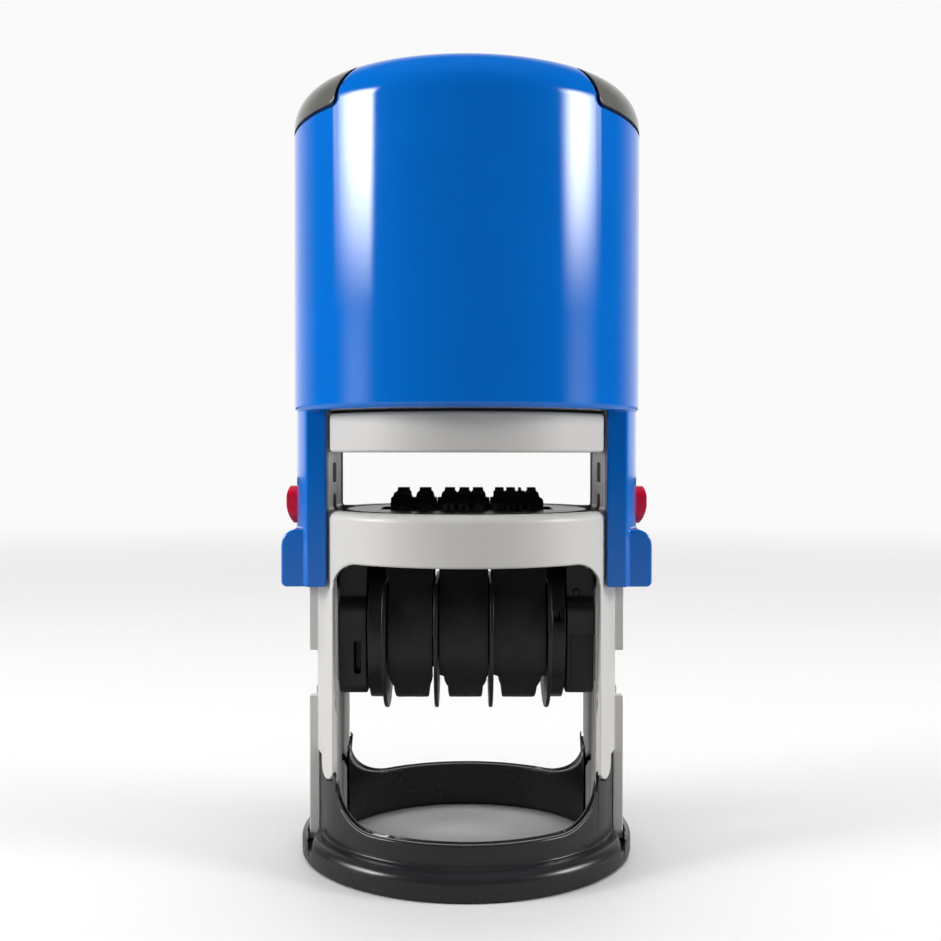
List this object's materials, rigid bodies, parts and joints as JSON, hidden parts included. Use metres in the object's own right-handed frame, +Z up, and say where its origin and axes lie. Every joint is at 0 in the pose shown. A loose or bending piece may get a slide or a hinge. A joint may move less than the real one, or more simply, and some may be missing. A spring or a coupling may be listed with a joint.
{
  "type": "self-inking date stamp",
  "caption": "Round self-inking date stamp: a press-down cap flips a date die from the ink pad to the paper inside an open frame.",
  "frame": {"origin": "centre of the base ring's underside, on the surface it stands on", "axes": "+Z up along the stamp, X along the die's axle, -Y towards the side the ink pad drawer pulls out"},
  "size_m": [0.0478, 0.0458, 0.1034],
  "materials": {
    "base_plastic": "black, semi-gloss",
    "frame_plastic": "warm light grey, satin",
    "cap_plastic": "blue, high gloss",
    "button_plastic": "red, gloss",
    "clear_cover": "smoky translucent",
    "index_paper": "plain card",
    "die_plastic": "black, satin",
    "date_rubber": "matt",
    "ink_felt": "ink-soaked felt",
    "spring_steel": "bright drawn wire"
  },
  "bodies": {
    "frame": {"base_ring": "base_plastic", "frame_skeleton": "frame_plastic", "return_spring": "spring_steel"},
    "cap": {"cap_shell": "cap_plastic", "index_card": "index_paper"},
    "index_cover": {"index_cover": "clear_cover"},
    "left_button": {"left_lock_button": "button_plastic"},
    "right_button": {"right_lock_button": "button_plastic"},
    "die": {"die_plate": "die_plastic", "die_carrier": "die_plastic", "print_bar": "die_plastic", "wheel_spindle": "spring_steel", "left_axle_pin": "spring_steel", "right_axle_pin": "spring_steel", "left_flip_cam": "die_plastic", "right_flip_cam": "die_plastic", "left_outer_divider": "die_plastic", "left_inner_divider": "die_plastic", "right_inner_divider": "die_plastic", "right_outer_divider": "die_plastic", "day_band": "date_rubber", "month_band": "date_rubber", "year_band": "date_rubber"},
    "day_wheel": {"day_wheel": "die_plastic"},
    "month_wheel": {"month_wheel": "die_plastic"},
    "year_wheel": {"year_wheel": "die_plastic"},
    "pad": {"pad_cartridge": "frame_plastic", "ink_pad": "ink_felt"}
  },
  "joints": [
    {"name": "cap_press", "type": "slide", "parent": "frame", "child": "cap", "axis": [0, 0, -1], "range_m": [0, 0.0289], "stiffness_N_per_m": 250, "springref_m": -0.01, "deforming": ["return_spring"]},
    {"name": "die_flip", "type": "hinge", "parent": "cap", "child": "die", "pos_m": [0, 0, 0.0386], "axis": [1, 0, 0], "range_deg": [0, 180]},
    {"name": "left_button_press", "type": "slide", "parent": "cap", "child": "left_button", "axis": [1, 0, 0], "range_m": [0, 0.0012], "stiffness_N_per_m": 400, "springref_m": -0.001},
    {"name": "right_button_press", "type": "slide", "parent": "cap", "child": "right_button", "axis": [-1, 0, 0], "range_m": [0, 0.0012], "stiffness_N_per_m": 400, "springref_m": -0.001},
    {"name": "index_cover_lift", "type": "slide", "parent": "cap", "child": "index_cover", "axis": [0, 0, 1], "range_m": [0, 0.012]},
    {"name": "pad_slide", "type": "slide", "parent": "frame", "child": "pad", "axis": [0, 1, 0], "range_m": [-0.04, 0]},
    {"name": "day_wheel_turn", "type": "hinge", "parent": "die", "child": "day_wheel", "pos_m": [0, 0, 0.0295], "axis": [1, 0, 0], "continuous": true},
    {"name": "month_wheel_turn", "type": "hinge", "parent": "die", "child": "month_wheel", "pos_m": [0, 0, 0.0295], "axis": [1, 0, 0], "continuous": true},
    {"name": "year_wheel_turn", "type": "hinge", "parent": "die", "child": "year_wheel", "pos_m": [0, 0, 0.0295], "axis": [1, 0, 0], "continuous": true}
  ],
  "couplings": [
    {"joint": "die_flip", "follows": "cap_press", "rad_per_m": 108.7}
  ]
}
